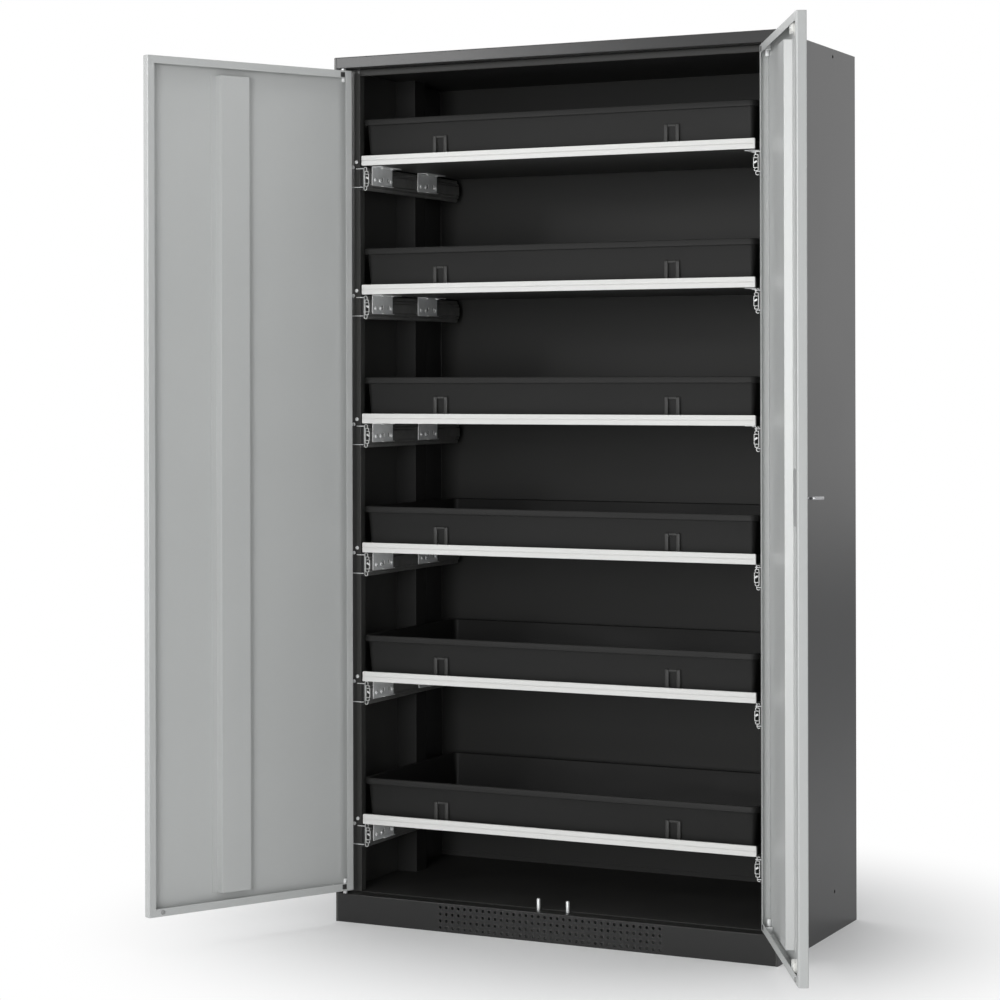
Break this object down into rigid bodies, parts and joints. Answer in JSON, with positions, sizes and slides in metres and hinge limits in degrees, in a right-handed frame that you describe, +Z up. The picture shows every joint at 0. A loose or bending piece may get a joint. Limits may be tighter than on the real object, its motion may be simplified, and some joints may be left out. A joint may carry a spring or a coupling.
{
  "type": "chemical storage cabinet",
  "caption": "Tall sheet-steel cabinet for chemicals with two wing doors, a perforated plinth and pull-out shelves that carry deep plastic spill trays.",
  "frame": {"origin": "on the floor, under the middle of the cabinet body's footprint", "axes": "+X to the right seen from the front, +Y from the front to the rear, +Z up"},
  "size_m": [1.5104, 0.9665, 1.95],
  "materials": {
    "body_paint": "satin anthracite powder coat",
    "shelf_paint": "satin dark grey powder coat",
    "door_paint": "satin light grey powder coat",
    "bar_paint": "satin white coat",
    "tray_plastic": "black moulded plastic",
    "zinc_plated_steel": "bright zinc plating",
    "nylon": "natural nylon",
    "buffer_rubber": "black rubber",
    "bright_chrome": "nickel plated"
  },
  "bodies": {
    "cabinet": {"left_side_panel": "body_paint", "right_side_panel": "body_paint", "rear_panel": "body_paint", "roof": "body_paint", "ceiling_panel": "body_paint", "floor_panel": "body_paint", "plinth": "body_paint", "levelling_feet": "zinc_plated_steel", "left_upright": "body_paint", "right_upright": "body_paint", "rail_spacers": "body_paint", "left_fixed_rails": "zinc_plated_steel", "right_fixed_rails": "zinc_plated_steel", "hinge_pins": "zinc_plated_steel", "stop_pins": "zinc_plated_steel"},
    "left_door": {"left_door_shell": "door_paint", "left_door_stiffener": "door_paint", "left_hinge_bushes": "nylon", "left_door_buffer": "buffer_rubber"},
    "right_door": {"right_door_shell": "door_paint", "right_door_stiffener": "door_paint", "right_hinge_bushes": "nylon", "right_door_buffer": "buffer_rubber", "lock_rosette": "bright_chrome", "lock_case": "zinc_plated_steel", "rod_guides": "nylon"},
    "lock": {"lock_plug": "bright_chrome", "lock_key": "bright_chrome"},
    "upper_bolt": {"upper_rod": "zinc_plated_steel"},
    "lower_bolt": {"lower_rod": "zinc_plated_steel"},
    "drawer_1": {"drawer_1_shelf": "shelf_paint", "drawer_1_front_bar": "bar_paint", "drawer_1_tray": "tray_plastic", "drawer_1_runners": "zinc_plated_steel"},
    "drawer_1_middle": {"drawer_1_middle_rails": "zinc_plated_steel"},
    "drawer_2": {"drawer_2_shelf": "shelf_paint", "drawer_2_front_bar": "bar_paint", "drawer_2_tray": "tray_plastic", "drawer_2_runners": "zinc_plated_steel"},
    "drawer_2_middle": {"drawer_2_middle_rails": "zinc_plated_steel"},
    "drawer_3": {"drawer_3_shelf": "shelf_paint", "drawer_3_front_bar": "bar_paint", "drawer_3_tray": "tray_plastic", "drawer_3_runners": "zinc_plated_steel"},
    "drawer_3_middle": {"drawer_3_middle_rails": "zinc_plated_steel"},
    "drawer_4": {"drawer_4_shelf": "shelf_paint", "drawer_4_front_bar": "bar_paint", "drawer_4_tray": "tray_plastic", "drawer_4_runners": "zinc_plated_steel"},
    "drawer_4_middle": {"drawer_4_middle_rails": "zinc_plated_steel"},
    "drawer_5": {"drawer_5_shelf": "shelf_paint", "drawer_5_front_bar": "bar_paint", "drawer_5_tray": "tray_plastic", "drawer_5_runners": "zinc_plated_steel"},
    "drawer_5_middle": {"drawer_5_middle_rails": "zinc_plated_steel"},
    "drawer_6": {"drawer_6_shelf": "shelf_paint", "drawer_6_front_bar": "bar_paint", "drawer_6_tray": "tray_plastic", "drawer_6_runners": "zinc_plated_steel"},
    "drawer_6_middle": {"drawer_6_middle_rails": "zinc_plated_steel"}
  },
  "joints": [
    {"name": "left_door_swing", "type": "hinge", "parent": "cabinet", "child": "left_door", "pos_m": [-0.5067, -0.2545, 0.072], "axis": [0, 0, -1], "range_deg": [-118, 2]},
    {"name": "right_door_swing", "type": "hinge", "parent": "cabinet", "child": "right_door", "pos_m": [0.5067, -0.2545, 0.072], "axis": [0, 0, 1], "range_deg": [-118, 2]},
    {"name": "lock_turn", "type": "hinge", "parent": "right_door", "child": "lock", "pos_m": [0.72667, -0.65648, 0.995], "axis": [0.8829, 0.4695, 0], "range_deg": [0, 90]},
    {"name": "upper_bolt_slide", "type": "slide", "parent": "right_door", "child": "upper_bolt", "axis": [0, 0, 1], "range_m": [0, 0.015]},
    {"name": "lower_bolt_slide", "type": "slide", "parent": "right_door", "child": "lower_bolt", "axis": [0, 0, -1], "range_m": [0, 0.015]},
    {"name": "drawer_1_slide", "type": "slide", "parent": "cabinet", "child": "drawer_1", "axis": [0, -1, 0], "range_m": [0, 0.4]},
    {"name": "drawer_1_middle_slide", "type": "slide", "parent": "cabinet", "child": "drawer_1_middle", "axis": [0, -1, 0], "range_m": [0, 0.2]},
    {"name": "drawer_2_slide", "type": "slide", "parent": "cabinet", "child": "drawer_2", "axis": [0, -1, 0], "range_m": [0, 0.4]},
    {"name": "drawer_2_middle_slide", "type": "slide", "parent": "cabinet", "child": "drawer_2_middle", "axis": [0, -1, 0], "range_m": [0, 0.2]},
    {"name": "drawer_3_slide", "type": "slide", "parent": "cabinet", "child": "drawer_3", "axis": [0, -1, 0], "range_m": [0, 0.4]},
    {"name": "drawer_3_middle_slide", "type": "slide", "parent": "cabinet", "child": "drawer_3_middle", "axis": [0, -1, 0], "range_m": [0, 0.2]},
    {"name": "drawer_4_slide", "type": "slide", "parent": "cabinet", "child": "drawer_4", "axis": [0, -1, 0], "range_m": [0, 0.4]},
    {"name": "drawer_4_middle_slide", "type": "slide", "parent": "cabinet", "child": "drawer_4_middle", "axis": [0, -1, 0], "range_m": [0, 0.2]},
    {"name": "drawer_5_slide", "type": "slide", "parent": "cabinet", "child": "drawer_5", "axis": [0, -1, 0], "range_m": [0, 0.4]},
    {"name": "drawer_5_middle_slide", "type": "slide", "parent": "cabinet", "child": "drawer_5_middle", "axis": [0, -1, 0], "range_m": [0, 0.2]},
    {"name": "drawer_6_slide", "type": "slide", "parent": "cabinet", "child": "drawer_6", "axis": [0, -1, 0], "range_m": [0, 0.4]},
    {"name": "drawer_6_middle_slide", "type": "slide", "parent": "cabinet", "child": "drawer_6_middle", "axis": [0, -1, 0], "range_m": [0, 0.2]}
  ],
  "couplings": [
    {"joint": "lower_bolt_slide", "follows": "upper_bolt_slide", "ratio": 1},
    {"joint": "lock_turn", "follows": "upper_bolt_slide", "rad_per_m": 104.72},
    {"joint": "drawer_1_middle_slide", "follows": "drawer_1_slide", "ratio": 0.5},
    {"joint": "drawer_2_middle_slide", "follows": "drawer_2_slide", "ratio": 0.5},
    {"joint": "drawer_3_middle_slide", "follows": "drawer_3_slide", "ratio": 0.5},
    {"joint": "drawer_4_middle_slide", "follows": "drawer_4_slide", "ratio": 0.5},
    {"joint": "drawer_5_middle_slide", "follows": "drawer_5_slide", "ratio": 0.5},
    {"joint": "drawer_6_middle_slide", "follows": "drawer_6_slide", "ratio": 0.5}
  ]
}
